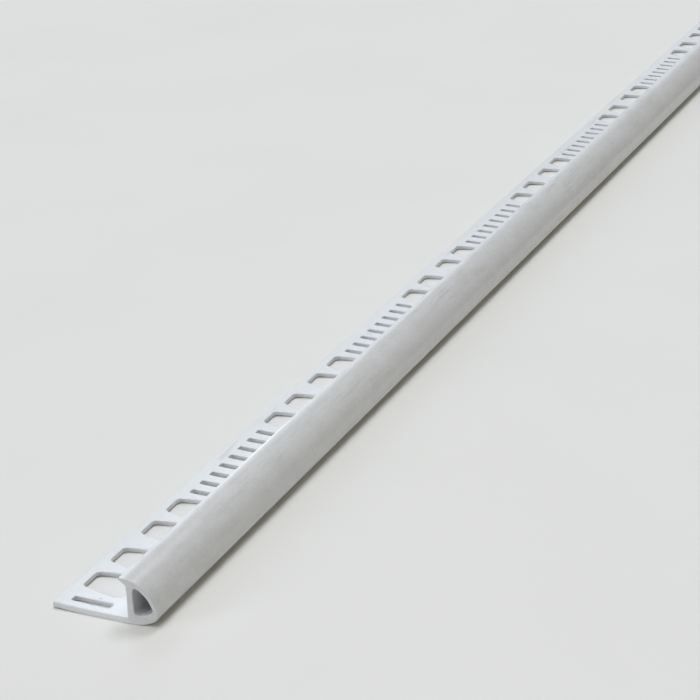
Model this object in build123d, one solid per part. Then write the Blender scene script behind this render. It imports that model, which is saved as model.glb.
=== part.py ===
from build123d import *
import os
from math import sqrt

os.makedirs("parts", exist_ok=True)

# Stock, in millimetres: X across, Y along the length, Z up from the floor it lies on
length = 1830.0
height = 12.0

# Flange that the tile adhesive keys into
flange_reach = 21.5
flange_thick = 1.2

# Rounded nose: a quarter round on a web, closed by an undercut heel
nose_reach = 8.5
nose_radius = 9.6
nose_wall = 1.3
web_thick = 1.7
lip_reach = 1.9
lip_edge = 0.5
lip_drop = 1.9
heel_reach = 2.5
heel_wall = 2.3

# Roundings of the section
seat_fillet = 0.3
chamber_fillet = 0.45
tip_fillet = 0.3

# Pattern punched through the flange, repeated along the length
period = 100.0
first_window = 14.2
pair_pitch = 13.3
pair_step = 28.9
pairs = 2
window_outer = 7.4
window_inner = 11.0
window_depth = 12.0
window_margin = 2.6
window_corner = 1.4
window_bevel = 0.8
slot_count = 8
slot_pitch = 5.6
slot_lead = 8.8
slot_width = 2.0
slot_depth = 10.8
slot_margin = 3.7
end_land = 2.4

# Positions that follow from the sizes: the origin is under the middle of the stock
tip_x = -(flange_reach + nose_reach) / 2
web_x = tip_x + flange_reach
near_y = -length / 2
round_x = web_x + nose_reach - nose_radius
round_z = height - nose_radius


def round_height(x):
    """Height of the quarter round above the floor at x."""
    return round_z + sqrt(nose_radius**2 - (x - round_x) ** 2)


def heel_radius():
    """Radius of the heel's arc, which leaves the floor level and ends at the nose's corner."""
    across = nose_reach - heel_reach
    return (across**2 + round_z**2) / (2 * round_z)


def heel_height(x):
    """Height of the heel's arc above the floor at x."""
    radius = heel_radius()
    return radius - sqrt(radius**2 - (x - web_x - heel_reach) ** 2)


def outline():
    """Outer edge of the section in the XZ plane, as a closed face."""
    tip_bottom = (tip_x, 0)
    heel = (web_x + heel_reach, 0)
    corner = (web_x + nose_reach, round_z)
    lip_x = web_x - lip_reach
    lip_top = (lip_x, round_height(lip_x))
    lip_bottom = (lip_x, lip_top[1] - lip_edge)
    lip_root = (web_x, height - lip_drop)
    seat = (web_x, flange_thick)
    tip_top = (tip_x, flange_thick)
    heel_mid_x = web_x + (heel_reach + nose_reach) / 2
    heel_mid = (heel_mid_x, heel_height(heel_mid_x))
    round_mid_x = round_x + nose_radius / sqrt(2)
    round_mid = (round_mid_x, round_height(round_mid_x))
    with BuildSketch(Plane.XZ) as sketch:
        with BuildLine():
            Line(tip_bottom, heel)
            ThreePointArc(heel, heel_mid, corner)
            ThreePointArc(corner, round_mid, lip_top)
            Polyline(lip_top, lip_bottom, lip_root, seat, tip_top, tip_bottom)
        make_face()
        seat_corner = sketch.vertices().sort_by_distance((seat[0], 0, seat[1]))[0]
        fillet(seat_corner, seat_fillet)
        tip_corners = sketch.vertices().sort_by(Axis.X)[:2]
        fillet(tip_corners, tip_fillet)
    return sketch.sketch


def chamber():
    """Hollow inside the nose in the XZ plane, bounded by the web, the round and the heel."""
    left = web_x + web_thick
    bar = Plane.XZ * Pos(left + nose_radius / 2, height / 2) * Rectangle(nose_radius, 2 * height)
    inside = Plane.XZ * Pos(round_x, round_z) * Circle(nose_radius - nose_wall)
    above = Plane.XZ * Pos(web_x + heel_reach, heel_radius()) * Circle(heel_radius() - heel_wall)
    hollow = bar & inside & above
    return fillet(hollow.vertices(), chamber_fillet)


def window():
    """One dovetail window at y = 0, its narrow side toward the flange's tip."""
    outer_x = tip_x + window_margin
    inner_x = outer_x + window_depth
    narrow = window_outer / 2
    wide = window_inner / 2
    corners = [(outer_x, -narrow), (inner_x, -wide), (inner_x, wide), (outer_x, narrow)]
    shape = make_face(Polyline(*corners, close=True))
    shape = fillet(shape.vertices().sort_by(Axis.X)[:2], window_corner)
    return chamfer(shape.vertices().sort_by(Axis.X)[-2:], window_bevel)


def slot():
    """One plain slot across the flange at y = 0."""
    return Pos(tip_x + slot_margin + slot_depth / 2, 0) * Rectangle(slot_depth, slot_width)


def window_rows():
    """Distances of one period's windows from the start of the period, in pairs."""
    return [first_window + pair * pair_step + k * pair_pitch for pair in range(pairs) for k in range(2)]


def slot_rows():
    """Distances of one period's slots from the start of the period."""
    first = window_rows()[-1] + slot_lead
    return [first + k * slot_pitch for k in range(slot_count)]


def whole_on_stock(rows, width):
    """Places along Y of a repeated hole, leaving out those that an end of the stock would cut."""
    spare = width / 2 + end_land
    repeats = range(-1, int(length / period) + 1)
    places = [n * period + row for n in repeats for row in rows]
    return [near_y + place for place in places if spare <= place <= length - spare]


def punches():
    """Prisms that punch every window and slot through the flange."""
    window_face = window()
    slot_face = slot()
    faces = [Pos(0, y) * window_face for y in whole_on_stock(window_rows(), window_inner)]
    faces += [Pos(0, y) * slot_face for y in whole_on_stock(slot_rows(), slot_width)]
    return [extrude(face, 2 * flange_thick, both=True) for face in faces]


stock = extrude(outline() - chamber(), length / 2, both=True)
trim = stock - punches()
export_step(trim, "parts/tile_trim.step")
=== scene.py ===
"""Studio picture of a length of white PVC corner tile trim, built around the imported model."""

import math
from collections import namedtuple

import bpy
import numpy as np
from mathutils import Matrix, Vector
from mathutils.geometry import delaunay_2d_cdt


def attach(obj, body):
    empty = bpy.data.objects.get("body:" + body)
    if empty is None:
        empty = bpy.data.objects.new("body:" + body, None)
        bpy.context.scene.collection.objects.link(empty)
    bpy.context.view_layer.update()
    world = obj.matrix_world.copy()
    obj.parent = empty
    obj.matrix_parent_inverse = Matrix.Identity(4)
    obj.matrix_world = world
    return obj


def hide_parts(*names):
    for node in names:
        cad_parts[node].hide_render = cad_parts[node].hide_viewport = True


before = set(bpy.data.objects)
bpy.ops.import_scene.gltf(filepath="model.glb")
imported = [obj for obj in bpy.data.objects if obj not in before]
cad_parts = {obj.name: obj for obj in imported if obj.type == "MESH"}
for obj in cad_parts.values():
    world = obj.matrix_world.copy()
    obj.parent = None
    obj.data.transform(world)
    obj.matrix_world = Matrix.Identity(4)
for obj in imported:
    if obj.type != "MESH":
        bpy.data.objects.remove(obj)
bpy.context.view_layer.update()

MM = 0.001

# Sizes of the trim in millimetres, the same as in the part's source
LENGTH = 1830.0
HEIGHT = 12.0
FLANGE_REACH = 21.5
FLANGE_THICK = 1.2
NOSE_REACH = 8.5
NOSE_RADIUS = 9.6
NOSE_WALL = 1.3
WEB_THICK = 1.7
LIP_REACH = 1.9
LIP_EDGE = 0.5
LIP_DROP = 1.9
HEEL_REACH = 2.5
HEEL_WALL = 2.3
TIP_ROUND = 0.3
SEAT_ROUND = 0.3
PERIOD = 100.0
WINDOW_ROWS = (14.2, 27.5, 43.1, 56.4)
WINDOW_OUTER = 7.4
WINDOW_INNER = 11.0
WINDOW_DEPTH = 12.0
WINDOW_MARGIN = 2.6
SLOT_FIRST = 65.2
SLOT_PITCH = 5.6
SLOT_COUNT = 8
SLOT_WIDTH = 2.0
SLOT_DEPTH = 10.8
SLOT_MARGIN = 3.7
END_LAND = 2.4

# Roundings of the section's other corners: how far from the corner they start, in millimetres
LIP_ROUND = 0.24
NOSE_ROUND = 1.5
CHAMBER_ROUND = 0.5
APEX_ROUND = 2.2
FOOT_ROUND = 1.3

# Soft edges of the cut ends in millimetres: in general, at the tip and underside, on the lip and the flange
CUT_ROUND = 0.32
CUT_ROUND_TIP = 0.16
CUT_ROUND_LIP = 0.12
FLANGE_CUT_RUN = 0.7
FLANGE_CUT_DROP = 0.5

# How far the edges of the holes roll in, in millimetres: more on top near the web, and less below
PUNCH_ROLL = 0.24
WINDOW_ROLL_WEB = 0.8
SLOT_ROLL_WEB = 0.45
ROLL_SPAN = (3.0, 6.5)
PUNCH_ROLL_LOW = 0.16

# Corners of the holes in millimetres, and points on their flanks: share of the way inward, and bulge
WINDOW_ROUNDS = (1.4, 1.1, 1.1, 1.4)
SLOT_ROUNDS = (0.45, 0.45, 0.45, 0.45)
WINDOW_FLANK = ((0.15, 0.15), (0.3, 0.22), (0.55, 0.0))
SLOT_FLANK = ((0.3, 0.0), (0.55, 0.0))

# Warp of the flange: height of its tip off the floor, share of it that bends, and shares it is drawn through
CUP_LIFT = 0.4
CUP_SHARE = 0.6
FLANGE_STOPS = (0.12, 0.24, 0.36, 0.48, CUP_SHARE)

# Lean of the near cut in millimetres: its top stands back, and its foot less so at the tip, web and nose
SLANT_BACK = 0.75
SLANT_LEAD = (0.61, 0.75, 0.17)
SLANT_REACH = 2.0
SLANT_POWER = 9
SLOPE_STEP = 0.1

# Fineness of the mesh: steps of each arc, and millimetres between its rings
BEND_STEPS = 4
HEEL_STEPS = 14
NOSE_STEPS = 48
CHAMBER_NOSE_STEPS = 24
CHAMBER_HEEL_STEPS = 12
WINDOW_CORNER_STEPS = 6
SLOT_CORNER_STEPS = 4
EDGE_STEPS = 3
STATION_STEP = 30.0

# Room for rounding where places are compared or merged, and the kind of fill that stays inside its outline
SLACK = 0.01
MERGE_WITHIN = 1e-6
FILL_INSIDE = 1

# Linear colours of the plastic and of the floor
PVC_WHITE = (0.745, 0.76, 0.785, 1)
PVC_GRIMY = (0.50, 0.505, 0.505, 1)
PVC_CUT_PALE = (0.73, 0.74, 0.76, 1)
PVC_CUT_DARK = (0.66, 0.67, 0.69, 1)
FLOOR_PALE = (0.811, 0.815, 0.801, 1)
FLOOR_DIM = (0.796, 0.800, 0.786, 1)

# Textures: clouds to the metre along each axis, their detail and roughness, and the values that are shown
Layer = namedtuple("Layer", "stretch detail roughness low high", defaults=(0.0, 1.0))
LINES = Layer((900.0, 4.0, 900.0), 3.0, 0.5)
CLOUDS = Layer((260.0, 130.0, 260.0), 5.0, 0.7, 0.3, 0.7)
SMUDGE = Layer((55.0, 30.0, 55.0), 5.0, 0.6, 0.52, 0.8)
SCUFF = Layer((420.0, 45.0, 420.0), 2.0, 0.5, 0.66, 0.78)
SCRATCH = Layer((1000.0, 60.0, 1000.0), 3.0, 0.6, 0.48, 0.7)
PATCH = Layer((70.0, 26.0, 70.0), 3.0, 0.5, 0.42, 0.66)
GRAIN = Layer((1500.0, 1100.0, 1500.0), 1.0, 0.5, 0.3, 0.7)
GRIT = Layer((520.0, 520.0, 520.0), 3.0, 0.6, 0.6, 0.67)
SPECK = Layer((300.0, 260.0, 300.0), 1.0, 0.5, 0.775, 0.81)
SAW = Layer((500.0, 900.0, 3600.0), 3.0, 0.5, 0.35, 0.7)
FLOOR_CLOUDS = Layer((14.0, 14.0, 14.0), 3.0, 0.5, 0.3, 0.7)
FLOOR_GRAIN = Layer((900.0, 900.0, 900.0), 2.0, 0.5)

# Shares of grime that the textures give: smudges and scratches count more on faces that look up
UPPER_FACING = (0.55, 0.85)
SMUDGE_DIRT = (0.26, 0.50)
SCRATCH_DIRT = 0.65
CLOUD_DIRT = 0.19
GRAIN_DIRT = 0.14
SCUFF_DIRT = 0.5
SPECK_DIRT = 0.8
GRIT_DIRT = 0.45
GRIT_REACH = 14.0
FLANGE_CLEAN = 0.6

# Cut faces look along the stock, and sheared walls look sideways below the top of the flange's zone
CUT_FACING = (0.6, 0.95)
WALL_FACING = (0.75, 0.3)
FLANGE_ZONE = 1.6 * FLANGE_THICK

# Roughness of the plastic and what adds to it, and relief as a depth in metres and a strength
PVC_ROUGHNESS = 0.19
SMUDGE_ROUGHNESS = 0.10
LINE_ROUGHNESS = 0.03
CUT_ROUGHNESS = 0.26
PVC_RELIEF = (0.00006, 0.03)
FLOOR_ROUGHNESS = 0.8
FLOOR_SPECULAR = 0.2
FLOOR_RELIEF = (0.0001, 0.25)
FLOOR_SIZE = 60.0

# Colour sockets of the mix node, which share their names with those of its other kinds
MIX_SHARE, MIX_A, MIX_B, MIX_RESULT = 0, 6, 7, 2

# Wide lamps: name, bearing, height and half angle in degrees, strength and colour; and the room's even light
SKY = (0.78, 0.92, 1.0)
COOL = (0.97, 0.97, 1.0)
NEUTRAL = (1.0, 1.0, 1.0)
WARM = (1.0, 0.85, 0.30)
FAR_LAMPS = (
    ("back_high", 0, 58, 13, 0.965, COOL),
    ("back_left", 45, 34, 12, 0.38, SKY),
    ("sheen", 29, 24, 9, 0.108, SKY),
    ("far_sheen", 14, 15, 8, 0.056, SKY),
    ("left_high", 90, 74, 14, 0.705, COOL),
    ("front_left", 135, 14, 11, 0.775, COOL),
    ("front_high", 180, 74, 16, 0.59, NEUTRAL),
    ("right", 270, 34, 14, 0.19, WARM),
)
FAR_LAMP_REACH = 10.0
ROOM_LIGHT = 0.10

# Small lamp that glints on the lip, in metres, degrees and watts: the spot it faces and where it stands
GLINT_AIM = (0.0054, -0.823, 0.012)
GLINT_BEARING = 31.5
GLINT_HEIGHT = 21.57
GLINT_REACH = 1.0
GLINT_RADIUS = 0.021
GLINT_HALF_ANGLE = 5
GLINT_BLEND = 1.0
GLINT_POWER = 0.55

# Camera in pixels, millimetres, metres and degrees: as solved, and then set 0.4 mm along the trim
IMAGE_PX = 700
SENSOR = 36.0
CAMERA_FOCAL_PX = 2127.3
CAMERA_AT = (0.25424, -1.29286, 0.26280)
CAMERA_TURN = (25.94, 23.385, -3.114)
CAMERA_CLIP = (0.01, 100)

# Places that follow from the sizes: the origin is under the middle of the stock
TIP_X = -(FLANGE_REACH + NOSE_REACH) / 2
WEB_X = TIP_X + FLANGE_REACH
NOSE_X = WEB_X + NOSE_REACH
NEAR_Y = -LENGTH / 2
ROUND_X = NOSE_X - NOSE_RADIUS
ROUND_Z = HEIGHT - NOSE_RADIUS
HEEL_X = WEB_X + HEEL_REACH
CUP_X = TIP_X + CUP_SHARE * FLANGE_REACH
HEEL_RADIUS = ((NOSE_X - HEEL_X) ** 2 + ROUND_Z**2) / (2 * ROUND_Z)
EDGE_TURNS = np.linspace(0, math.pi / 2, EDGE_STEPS + 1)


def straight(start, end, cut_start, cut_end):
    """A straight run of the section, short of its two corners, as rows of x, z, normal x, normal z."""
    a, b = np.array(start, float), np.array(end, float)
    way = (b - a) / np.linalg.norm(b - a)
    normal = (way[1], -way[0])
    return np.array([[*(a + way * cut_start), *normal], [*(b - way * cut_end), *normal]])


def arc(centre, radius, start, end, steps):
    """An arc of the section: it turns left round the material, or right round a hollow."""
    angles = np.linspace(start, end, steps + 1)
    spoke = np.stack([np.cos(angles), np.sin(angles)], 1)
    side = 1.0 if end > start else -1.0
    return np.concatenate([np.array(centre) + radius * spoke, side * spoke], 1)


def flange_run(z, up):
    """The flange's upper face or underside from tip to web, as rows of x, z, normal x, normal z."""
    stops = [TIP_X + share * FLANGE_REACH for share in FLANGE_STOPS]
    return np.array([[x, z, 0, up] for x in (TIP_X + TIP_ROUND, *stops, WEB_X - SEAT_ROUND)])


def bend(before, after):
    """A soft corner between the end of one run and the start of the next, without those two points."""
    a, b = before[-1], after[0]
    way_a = np.array([-a[3], a[2]])
    way_b = np.array([-b[3], b[2]])
    along = np.linalg.solve(np.stack([way_a, way_b], 1), b[:2] - a[:2])
    corner = a[:2] + way_a * along[0]
    t = np.linspace(0, 1, BEND_STEPS + 1)[1:-1, None]
    point = (1 - t) ** 2 * a[:2] + 2 * t * (1 - t) * corner + t**2 * b[:2]
    way = (1 - t) * (corner - a[:2]) + t * (b[:2] - corner)
    way /= np.linalg.norm(way, axis=1)[:, None]
    return np.concatenate([point, np.stack([way[:, 1], -way[:, 0]], 1)], 1)


def loop(runs):
    """One closed loop of the section from its runs, with a soft corner after each of them."""
    rows = []
    for k, run in enumerate(runs):
        rows += [run, bend(run, runs[(k + 1) % len(runs)])]
    return np.concatenate(rows)


def outline():
    """Outer loop of the section, from the flange's tip along the floor and back over the nose."""
    heel_turn = math.atan2(NOSE_X - HEEL_X, HEEL_RADIUS - ROUND_Z)
    lip_x = WEB_X - LIP_REACH
    lip_turn = math.acos((lip_x - ROUND_X) / NOSE_RADIUS)
    lip_z = ROUND_Z + NOSE_RADIUS * math.sin(lip_turn)
    lip_low = (lip_x, lip_z - LIP_EDGE)
    root = (WEB_X, HEIGHT - LIP_DROP)
    seat = (WEB_X, FLANGE_THICK)
    heel_run = arc(
        (HEEL_X, HEEL_RADIUS), HEEL_RADIUS,
        -math.pi / 2, -math.pi / 2 + heel_turn - NOSE_ROUND / HEEL_RADIUS, HEEL_STEPS,
    )
    base_run = np.concatenate([flange_run(0, -1), heel_run])
    nose_run = arc(
        (ROUND_X, ROUND_Z), NOSE_RADIUS,
        NOSE_ROUND / NOSE_RADIUS, lip_turn - LIP_ROUND / NOSE_RADIUS, NOSE_STEPS,
    )
    edge_run = straight((lip_x, lip_z), lip_low, LIP_ROUND, LIP_ROUND)
    under_run = straight(lip_low, root, LIP_ROUND, SEAT_ROUND)
    web_run = straight(root, seat, SEAT_ROUND, SEAT_ROUND)
    top_run = flange_run(FLANGE_THICK, 1)[::-1]
    tip_run = straight((TIP_X, FLANGE_THICK), (TIP_X, 0), TIP_ROUND, TIP_ROUND)
    return loop([base_run, nose_run, edge_run, under_run, web_run, top_run, tip_run])


def chamber():
    """Loop of the hollow inside the nose, up the web, down the round and back along the heel."""
    inner = NOSE_RADIUS - NOSE_WALL
    low = HEEL_RADIUS - HEEL_WALL
    left = WEB_X + WEB_THICK
    apex_turn = math.acos((left - ROUND_X) / inner)
    apex = (left, ROUND_Z + inner * math.sin(apex_turn))
    foot_turn = math.asin((left - HEEL_X) / low)
    foot = (left, HEEL_RADIUS - low * math.cos(foot_turn))
    gap = Vector((HEEL_X - ROUND_X, HEEL_RADIUS - ROUND_Z))
    reach = (inner**2 - low**2 + gap.length**2) / (2 * gap.length)
    side = gap.normalized()
    far = Vector((ROUND_X, ROUND_Z)) + side * reach
    far += Vector((side.y, -side.x)) * math.sqrt(inner**2 - reach**2)
    round_turn = math.atan2(far.y - ROUND_Z, far.x - ROUND_X)
    heel_turn = math.atan2(far.x - HEEL_X, HEEL_RADIUS - far.y)
    web_run = straight(foot, apex, FOOT_ROUND, APEX_ROUND)
    round_run = arc(
        (ROUND_X, ROUND_Z), inner,
        apex_turn - APEX_ROUND / inner, round_turn + CHAMBER_ROUND / inner, CHAMBER_NOSE_STEPS,
    )
    heel_run = arc(
        (HEEL_X, HEEL_RADIUS), low,
        -math.pi / 2 + heel_turn - CHAMBER_ROUND / low,
        -math.pi / 2 + foot_turn + FOOT_ROUND / low, CHAMBER_HEEL_STEPS,
    )
    return loop([web_run, round_run, heel_run])


def hole_frame(corners, rounds, steps, flank):
    """Fillet centres, radii and spokes of a hole's outline, which runs anticlockwise from its outer side."""
    arcs = []
    count = len(corners)
    for k in range(count):
        before, here, after = (np.array(corners[(k + j) % count], float) for j in (-1, 0, 1))
        way_in = (here - before) / np.linalg.norm(here - before)
        way_out = (after - here) / np.linalg.norm(after - here)
        turn = math.acos(np.clip(way_in @ way_out, -1, 1))
        start = math.atan2(-way_in[0], way_in[1])
        inward = (way_out - way_in) / np.linalg.norm(way_out - way_in)
        centre = here + inward * rounds[k] / math.cos(turn / 2)
        angles = np.linspace(start, start + turn, steps + 1)
        arcs.append([(centre, rounds[k], (math.cos(angle), math.sin(angle))) for angle in angles])
    back = [(1 - share, bulge) for share, bulge in reversed(flank)]
    rows = arcs[0] + side_points(arcs[0], arcs[1], flank) + arcs[1]
    rows += arcs[2] + side_points(arcs[2], arcs[3], back) + arcs[3]
    return tuple(np.array(column) for column in zip(*rows))


def side_points(arc_a, arc_b, flank):
    """Points on the side between two corner arcs: their share of the way, and how far they stand out."""
    (centre_a, radius_a, spoke), (centre_b, radius_b, _) = arc_a[-1], arc_b[0]
    points = []
    for share, bulge in flank:
        centre = (1 - share) * centre_a + share * centre_b
        radius = (1 - share) * radius_a + share * radius_b
        points.append((centre, radius + bulge, spoke))
    return points


def window_frame():
    """Outline of a dovetail window at y = 0."""
    outer_x = TIP_X + WINDOW_MARGIN
    inner_x = outer_x + WINDOW_DEPTH
    narrow, wide = WINDOW_OUTER / 2, WINDOW_INNER / 2
    corners = [(outer_x, -narrow), (inner_x, -wide), (inner_x, wide), (outer_x, narrow)]
    return hole_frame(corners, WINDOW_ROUNDS, WINDOW_CORNER_STEPS, WINDOW_FLANK)


def slot_frame():
    """Outline of a plain slot at y = 0."""
    outer_x = TIP_X + SLOT_MARGIN
    inner_x = outer_x + SLOT_DEPTH
    half = SLOT_WIDTH / 2
    corners = [(outer_x, -half), (inner_x, -half), (inner_x, half), (outer_x, half)]
    return hole_frame(corners, SLOT_ROUNDS, SLOT_CORNER_STEPS, SLOT_FLANK)


def places(rows, width):
    """Places along Y of a repeated hole that no end of the stock cuts."""
    spare = width / 2 + END_LAND
    found = [n * PERIOD + row for n in range(-1, int(LENGTH / PERIOD) + 1) for row in rows]
    return [NEAR_Y + place for place in found if spare <= place <= LENGTH - spare]


class Skin:
    """Vertices with their normals, and the faces between them, in millimetres."""

    def __init__(self):
        self.points, self.normals, self.faces = [], [], []

    def add(self, points, normals):
        """Adds vertices and gives back their numbers."""
        first = len(self.points)
        self.points.extend(map(tuple, points))
        self.normals.extend(map(tuple, normals))
        return list(range(first, len(self.points)))

    def bridge(self, ring_a, ring_b, skip=()):
        """Quads between two closed rings of the same count, apart from the skipped steps."""
        count = len(ring_a)
        for k in range(count):
            if k not in skip:
                j = (k + 1) % count
                self.faces.append((ring_a[k], ring_a[j], ring_b[j], ring_b[k]))

    def fill(self, rim, holes, drop, flip):
        """Triangles inside the rim and outside the holes, all lists of vertices of one plane."""
        keep = [axis for axis in range(3) if axis != drop]
        loops = [self.anticlockwise(one, keep) for one in (rim, *holes)]
        numbers = [v for one in loops for v in one]
        flat = [Vector([self.points[v][axis] for axis in keep]) for v in numbers]
        polygons, first = [], 0
        for one in loops:
            polygons.append(list(range(first, first + len(one))))
            first += len(one)
        filled = delaunay_2d_cdt(flat, [], polygons, FILL_INSIDE, MERGE_WITHIN)
        _, _, triangles, sources, _, parents = filled
        for triangle, inside_of in zip(triangles, parents):
            if any(polygon > 0 for polygon in inside_of):
                continue
            corner = [numbers[sources[v][0]] for v in triangle]
            self.faces.append(tuple(self.facing(corner, drop, flip)))

    def anticlockwise(self, ring, keep):
        """A ring of vertices, turned round if need be to run anticlockwise in the plane of two axes."""
        flat = np.array([self.points[v] for v in ring])[:, keep]
        after = np.roll(flat, -1, 0)
        return ring if np.sum(flat[:, 0] * after[:, 1] - after[:, 0] * flat[:, 1]) > 0 else ring[::-1]

    def facing(self, corner, drop, flip):
        """The corners of a triangle in the order that makes it face along, or against, the dropped axis."""
        a, b, c = (Vector(self.points[v]) for v in corner)
        return corner[::-1] if ((b - a).cross(c - a)[drop] < 0) != flip else corner


def cut_round(loop_rows):
    """How far each point of a loop draws in on the cut ends: less on the lip, tip and underside."""
    x, z = loop_rows[:, 0], loop_rows[:, 1]
    tip = (x < TIP_X + 2 * TIP_ROUND) | ((x < WEB_X) & (z < TIP_ROUND))
    lip = (x < WEB_X + SLACK) & (z > HEIGHT - LIP_DROP - 2 * SEAT_ROUND)
    return np.select([tip, lip], [CUT_ROUND_TIP, CUT_ROUND_LIP], CUT_ROUND)


def flange_share(loop_rows):
    """How far each point of a loop is on the flange's upper face: 1 on it, 0 on the floor and web."""
    share = np.interp(loop_rows[:, 1], (0, FLANGE_THICK, FLANGE_THICK + SEAT_ROUND), (0, 1, 0))
    return np.where(loop_rows[:, 0] <= WEB_X, share, 0)


def end_rings(loop_rows, y, out):
    """Points and normals of the rounded cut edge at one end, from the long faces to the end face."""
    inset, upper = cut_round(loop_rows), flange_share(loop_rows)
    run = CUT_ROUND + (FLANGE_CUT_RUN - CUT_ROUND) * upper
    drop = FLANGE_CUT_DROP * upper
    rows = []
    for turn in EDGE_TURNS:
        sunk = 1 - math.cos(turn)
        points = np.stack([
            loop_rows[:, 0] - inset * sunk * loop_rows[:, 2],
            y - out * run * (1 - math.sin(turn)),
            loop_rows[:, 1] - inset * sunk * loop_rows[:, 3] - drop * sunk,
        ], 1)
        normals = np.stack([
            loop_rows[:, 2] * run * math.cos(turn),
            out * (inset + drop * np.abs(loop_rows[:, 3])) * math.sin(turn),
            loop_rows[:, 3] * run * math.cos(turn),
        ], 1)
        rows.append((points, normals / np.linalg.norm(normals, axis=1)[:, None]))
    return rows


def swept(skin, loop_rows, skip):
    """Sweeps a loop along the stock with rounded cut ends, leaving the skipped steps open between them.

    Gives back the rings, near end first. Between the ends they have no points inside the open steps.
    """
    size = len(loop_rows)
    hidden = {k for k in skip if k - 1 in skip}
    kept = [k for k in range(size) if k not in hidden]
    rings = [skin.add(*row) for row in reversed(end_rings(loop_rows, NEAR_Y, -1.0))]
    inner = LENGTH - 2 * CUT_ROUND
    count = round(inner / STATION_STEP)
    for station in range(1, count):
        y = NEAR_Y + CUT_ROUND + inner * station / count
        points = np.stack([loop_rows[:, 0], np.full(size, y), loop_rows[:, 1]], 1)
        normals = np.stack([loop_rows[:, 2], np.zeros(size), loop_rows[:, 3]], 1)
        numbers = iter(skin.add(points[kept], normals[kept]))
        rings.append([None if k in hidden else next(numbers) for k in range(size)])
    rings += [skin.add(*row) for row in end_rings(loop_rows, -NEAR_Y, 1.0)]
    long_faces = range(EDGE_STEPS, len(rings) - EDGE_STEPS - 1)
    for k in range(len(rings) - 1):
        skin.bridge(rings[k + 1], rings[k], skip if k in long_faces else ())
    return rings


def punched(skin, shape, roll_web, y):
    """Walls of one hole with edges that roll in more near the web. Gives back its top and bottom rims."""
    centres, radii, spokes = shape
    rings = []
    across = centres[:, 0] + radii * spokes[:, 0]
    roll = np.interp(across - across.min(), ROLL_SPAN, (PUNCH_ROLL, roll_web))
    for low, size in ((False, roll), (True, PUNCH_ROLL_LOW)):
        for turn in reversed(EDGE_TURNS) if low else EDGE_TURNS:
            flat = centres + spokes * (radii + size * (1 - math.sin(turn)))[:, None]
            depth = size * (1 - math.cos(turn)) * np.ones(len(flat))
            z = depth if low else FLANGE_THICK - depth
            points = np.column_stack([flat[:, 0], flat[:, 1] + y, z])
            up = -math.cos(turn) if low else math.cos(turn)
            normals = np.column_stack([-spokes * math.sin(turn), np.full(len(flat), up)])
            rings.append(skin.add(points, normals))
    for upper, lower in zip(rings, rings[1:]):
        skin.bridge(upper, lower)
    return rings[0], rings[-1]


def cupped(points, normals):
    """Lifts the outer part of the flange off the floor, as on stock that has warped a little."""
    share = np.clip((CUP_X - points[:, 0]) / (CUP_X - TIP_X), 0, 1)
    slope = -2 * CUP_LIFT * share / (CUP_X - TIP_X)
    lifted = points + np.outer(CUP_LIFT * share**2, (0, 0, 1))
    tilted = normals - np.outer(slope * normals[:, 2], (1, 0, 0))
    return lifted, tilted / np.linalg.norm(tilted, axis=1)[:, None]


def slanted(points, normals):
    """Leans the near cut so that its top stands back a little, as on stock that was cut by hand."""
    across = (TIP_X, WEB_X, NOSE_X)
    lead = np.interp(points[:, 0], across, SLANT_LEAD)
    lead_slope = (np.interp(points[:, 0] + SLOPE_STEP, across, SLANT_LEAD) - lead) / SLOPE_STEP
    height = np.clip(1 - points[:, 2] / HEIGHT, 0, 1)
    low = height**SLANT_POWER
    low_slope = SLANT_POWER * height ** (SLANT_POWER - 1) / HEIGHT
    fade = np.clip((NEAR_Y + SLANT_REACH - points[:, 1]) / SLANT_REACH, 0, 1)
    back = SLANT_BACK - lead * low
    moved = points + np.outer(back * fade, (0, 1, 0))
    slope = np.column_stack([
        -lead_slope * low * fade,
        np.where(fade > 0, -back / SLANT_REACH, 0),
        lead * low_slope * fade,
    ])
    turned = normals - slope * (normals[:, 1] / (1 + slope[:, 1]))[:, None]
    return moved, turned / np.linalg.norm(turned, axis=1)[:, None]


def trim_mesh():
    """The whole trim as one closed mesh with exact normals."""
    skin = Skin()
    outer = outline()
    on_top = np.isclose(outer[:, 1], FLANGE_THICK) & np.isclose(outer[:, 3], 1)
    top_first = int(np.flatnonzero(on_top)[0])
    steps = len(FLANGE_STOPS) + 1
    floor_steps, top_steps = range(steps), range(top_first, top_first + steps)
    rings = swept(skin, outer, {*floor_steps, *top_steps})
    hollow = swept(skin, chamber(), ())
    windows, slots = window_frame(), slot_frame()
    rims = [punched(skin, windows, WINDOW_ROLL_WEB, y) for y in places(WINDOW_ROWS, WINDOW_INNER)]
    slot_rows = [SLOT_FIRST + k * SLOT_PITCH for k in range(SLOT_COUNT)]
    rims += [punched(skin, slots, SLOT_ROLL_WEB, y) for y in places(slot_rows, SLOT_WIDTH)]
    near, *middle, far = rings[EDGE_STEPS:-EDGE_STEPS]
    for open_steps, side, flip in ((top_steps, 0, False), (floor_steps, 1, True)):
        first, last = open_steps[0], open_steps[-1] + 1
        rim = near[first:last + 1] + [ring[last] for ring in middle]
        rim += far[first:last + 1][::-1] + [ring[first] for ring in reversed(middle)]
        skin.fill(rim, [pair[side] for pair in rims], drop=2, flip=flip)
    for end, flip in ((0, True), (-1, False)):
        skin.fill(rings[end], [hollow[end]], drop=1, flip=flip)
    points, normals = slanted(*cupped(np.array(skin.points), np.array(skin.normals)))
    mesh = bpy.data.meshes.new("tile_trim_skin")
    mesh.from_pydata(points * MM, [], skin.faces)
    mesh.validate()
    mesh.polygons.foreach_set("use_smooth", [True] * len(mesh.polygons))
    mesh.normals_split_custom_set_from_vertices(normals)
    mesh.update()
    return mesh


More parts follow.
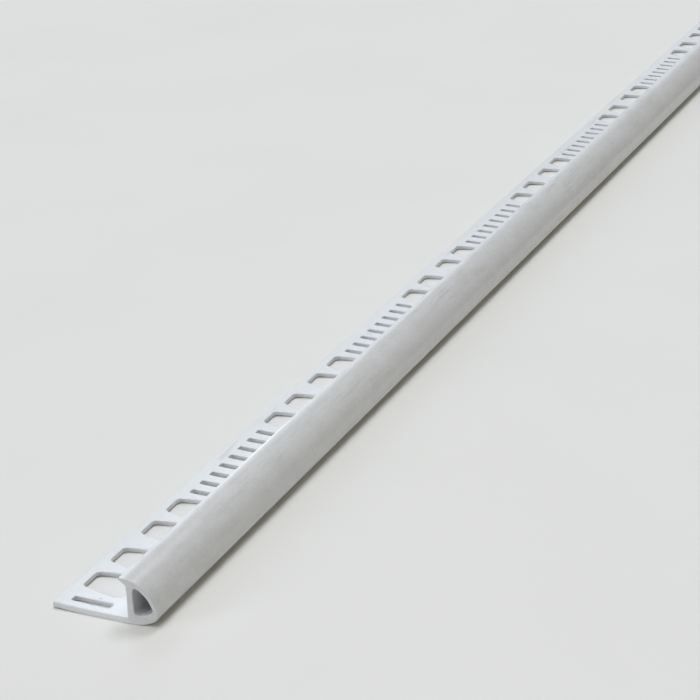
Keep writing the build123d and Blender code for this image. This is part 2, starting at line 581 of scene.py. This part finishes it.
class Look:
    """A new material, its principled shader, and short ways to add and wire its nodes."""

    def __init__(self, name):
        self.material = bpy.data.materials.new(name)
        self.material.use_nodes = True
        self.nodes = self.material.node_tree.nodes
        self.shader = self.nodes["Principled BSDF"]

    def feed(self, socket, value):
        """Wires an output into a socket, or sets the socket to a plain value."""
        if isinstance(value, bpy.types.NodeSocket):
            self.material.node_tree.links.new(value, socket)
        else:
            socket.default_value = value

    def axes(self, vector):
        """The three parts of a vector, by the names of their axes."""
        node = self.nodes.new("ShaderNodeSeparateXYZ")
        self.feed(node.inputs["Vector"], vector)
        return node.outputs

    def where(self):
        """Object coordinates, in metres."""
        return self.nodes.new("ShaderNodeTexCoord").outputs["Object"]

    def noise(self, layer):
        """Cloudy values from 0 to 1, one cloud to each unit of the stretched object coordinates."""
        mapping = self.nodes.new("ShaderNodeMapping")
        mapping.inputs["Scale"].default_value = layer.stretch
        self.feed(mapping.inputs["Vector"], self.where())
        node = self.nodes.new("ShaderNodeTexNoise")
        self.feed(node.inputs["Vector"], mapping.outputs["Vector"])
        node.inputs["Scale"].default_value = 1.0
        node.inputs["Detail"].default_value = layer.detail
        node.inputs["Roughness"].default_value = layer.roughness
        return node.outputs["Fac"]

    def shown(self, layer):
        """The values of a texture that are shown, spread from 0 to 1."""
        return self.span(self.noise(layer), layer.low, layer.high)

    def span(self, value, low, high, to_low=0.0, to_high=1.0):
        """A value carried smoothly from one span to another and held at its ends."""
        node = self.nodes.new("ShaderNodeMapRange")
        node.interpolation_type = "SMOOTHSTEP"
        ends = {"From Min": low, "From Max": high, "To Min": to_low, "To Max": to_high}
        for name, number in ends.items():
            node.inputs[name].default_value = number
        self.feed(node.inputs["Value"], value)
        return node.outputs["Result"]

    def math(self, kind, a, b=0.0):
        """One step of arithmetic with two values."""
        node = self.nodes.new("ShaderNodeMath")
        node.operation = kind
        self.feed(node.inputs[0], a)
        self.feed(node.inputs[1], b)
        return node.outputs["Value"]

    def times(self, a, b):
        """The product of two values."""
        return self.math("MULTIPLY", a, b)

    def plus(self, a, b):
        """The sum of two values."""
        return self.math("ADD", a, b)

    def most(self, a, b):
        """The larger of two values."""
        return self.math("MAXIMUM", a, b)

    def rest(self, value):
        """What is left of 1 after a value."""
        return self.math("SUBTRACT", 1.0, value)

    def blend(self, share, a, b):
        """A mix of two colours."""
        node = self.nodes.new("ShaderNodeMix")
        node.data_type = "RGBA"
        self.feed(node.inputs[MIX_SHARE], share)
        self.feed(node.inputs[MIX_A], a)
        self.feed(node.inputs[MIX_B], b)
        return node.outputs[MIX_RESULT]

    def bump(self, height, distance, strength):
        """Surface relief from a height of 0 to 1, over the distance in metres."""
        node = self.nodes.new("ShaderNodeBump")
        node.inputs["Strength"].default_value = strength
        node.inputs["Distance"].default_value = distance
        self.feed(node.inputs["Height"], height)
        self.feed(self.shader.inputs["Normal"], node.outputs["Normal"])


def pvc_dirt(look, smudge, facing_up, along, on_flange):
    """Share of grime on the plastic: a haze that is weaker on the flange, or marks where they are darker."""
    upper = look.span(facing_up, *UPPER_FACING, *SMUDGE_DIRT)
    haze = look.plus(look.times(smudge, upper), look.times(look.shown(CLOUDS), CLOUD_DIRT))
    scratched = look.times(look.shown(SCRATCH), look.shown(PATCH))
    haze = look.plus(haze, look.times(scratched, look.times(upper, SCRATCH_DIRT)))
    haze = look.plus(haze, look.times(look.shown(GRAIN), GRAIN_DIRT))
    handled = look.rest(look.times(on_flange, FLANGE_CLEAN))
    scuffs = look.times(look.shown(SCUFF), SCUFF_DIRT)
    specks = look.times(look.shown(SPECK), SPECK_DIRT)
    by_end = look.span(along, (NEAR_Y + GRIT_REACH) * MM, NEAR_Y * MM)
    grit = look.times(look.times(look.shown(GRIT), by_end), GRIT_DIRT)
    marks = look.most(look.most(scuffs, specks), look.times(grit, look.rest(on_flange)))
    return look.most(look.times(haze, handled), marks)


def pvc():
    """White PVC: extrusion lines, handling smudges and scuffs, matt saw-cut ends and sheared hole walls."""
    look = Look("white_pvc_look")
    facing = look.axes(look.nodes.new("ShaderNodeNewGeometry").outputs["Normal"])
    where = look.axes(look.where())
    on_flange = look.math("LESS_THAN", where["Z"], FLANGE_ZONE * MM)
    cut = look.span(look.math("ABSOLUTE", facing["Y"]), *CUT_FACING)
    upright = look.span(look.math("ABSOLUTE", facing["Z"]), *WALL_FACING)
    rough_face = look.most(cut, look.times(upright, on_flange))
    lines, saw, smudge = look.noise(LINES), look.noise(SAW), look.shown(SMUDGE)
    dirt = pvc_dirt(look, smudge, facing["Z"], where["Y"], on_flange)
    colour = look.blend(dirt, PVC_WHITE, PVC_GRIMY)
    cut_colour = look.blend(look.span(saw, SAW.low, SAW.high), PVC_CUT_PALE, PVC_CUT_DARK)
    look.feed(look.shader.inputs["Base Color"], look.blend(rough_face, colour, cut_colour))
    wear = look.plus(look.times(smudge, SMUDGE_ROUGHNESS), look.times(lines, LINE_ROUGHNESS))
    roughness = look.plus(wear, look.times(rough_face, CUT_ROUGHNESS))
    look.feed(look.shader.inputs["Roughness"], look.plus(roughness, PVC_ROUGHNESS))
    look.bump(look.blend(rough_face, lines, saw), *PVC_RELIEF)
    return look.material


def floor_look():
    """Plain pale floor with a faint cloudy tone and a fine matt grain."""
    look = Look("floor_look")
    colour = look.blend(look.shown(FLOOR_CLOUDS), FLOOR_PALE, FLOOR_DIM)
    look.feed(look.shader.inputs["Base Color"], colour)
    look.shader.inputs["Roughness"].default_value = FLOOR_ROUGHNESS
    look.shader.inputs["Specular IOR Level"].default_value = FLOOR_SPECULAR
    look.bump(look.noise(FLOOR_GRAIN), *FLOOR_RELIEF)
    return look.material


def plane(name, size, material):
    """A square floor at height 0."""
    mesh = bpy.data.meshes.new(name)
    half = size / 2
    corners = [(-half, -half, 0), (half, -half, 0), (half, half, 0), (-half, half, 0)]
    mesh.from_pydata(corners, [], [(0, 1, 2, 3)])
    mesh.materials.append(material)
    made = bpy.data.objects.new(name, mesh)
    bpy.context.scene.collection.objects.link(made)
    return made


def toward(bearing, height):
    """A direction from its bearing, turned from straight along the stock to the left, and its height."""
    turn, rise = math.radians(bearing), math.radians(height)
    return Vector((-math.sin(turn) * math.cos(rise), math.cos(turn) * math.cos(rise), math.sin(rise)))


def place_lamp(data, away, at):
    """Puts a lamp in the scene so that it shines from the given direction, unseen by the camera."""
    lamp = bpy.data.objects.new(data.name, data)
    lamp.location = at
    lamp.rotation_euler = away.to_track_quat("Z", "Y").to_euler()
    lamp.visible_camera = False
    bpy.context.scene.collection.objects.link(lamp)


def far_lamp(name, bearing, height, half_angle, strength, colour):
    """A wide lamp so far off that it lights the whole floor evenly."""
    data = bpy.data.lights.new(name, "SUN")
    data.angle = 2 * math.radians(half_angle)
    data.energy = strength
    data.color = colour
    away = toward(bearing, height)
    place_lamp(data, away, away * FAR_LAMP_REACH)


def glint_lamp():
    """A small lamp close by with a narrow beam, whose reflection runs along a short stretch of the lip."""
    data = bpy.data.lights.new("glint", "SPOT")
    data.shadow_soft_size = GLINT_RADIUS
    data.spot_size = 2 * math.radians(GLINT_HALF_ANGLE)
    data.spot_blend = GLINT_BLEND
    data.energy = GLINT_POWER
    away = toward(GLINT_BEARING, GLINT_HEIGHT)
    place_lamp(data, away, Vector(GLINT_AIM) + away * GLINT_REACH)


def studio_light():
    """Wide soft lamps, strongest from behind and above, with a small one that glints on the lip."""
    for lamp in FAR_LAMPS:
        far_lamp(*lamp)
    glint_lamp()
    made = bpy.data.worlds.new("studio")
    made.use_nodes = True
    back = made.node_tree.nodes["Background"]
    back.inputs["Color"].default_value = (*NEUTRAL, 1)
    back.inputs["Strength"].default_value = ROOM_LIGHT
    bpy.context.scene.world = made


def photo_camera():
    """Camera close to the photograph's place, turned by its bearing, its dip below level and its roll."""
    bearing, dip, roll = CAMERA_TURN
    turn, lean = math.radians(bearing), math.radians(roll)
    ahead = toward(bearing, -dip)
    level = Vector((math.cos(turn), math.sin(turn), 0))
    upright = level.cross(ahead)
    right = level * math.cos(lean) + upright * math.sin(lean)
    up = right.cross(ahead)
    data = bpy.data.cameras.new("camera")
    data.sensor_width = SENSOR
    data.lens = SENSOR * CAMERA_FOCAL_PX / IMAGE_PX
    data.clip_start, data.clip_end = CAMERA_CLIP
    camera = bpy.data.objects.new("camera", data)
    axes = Matrix((right, up, -ahead)).transposed().to_4x4()
    camera.matrix_world = Matrix.Translation(CAMERA_AT) @ axes
    bpy.context.scene.collection.objects.link(camera)
    bpy.context.scene.camera = camera


trim = bpy.data.objects.new("trim", trim_mesh())
bpy.context.scene.collection.objects.link(trim)
trim.data.materials.append(pvc())
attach(trim, "root")
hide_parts("tile_trim")

floor = plane("floor", FLOOR_SIZE, floor_look())
studio_light()
photo_camera()
bpy.context.scene.view_settings.view_transform = "Standard"
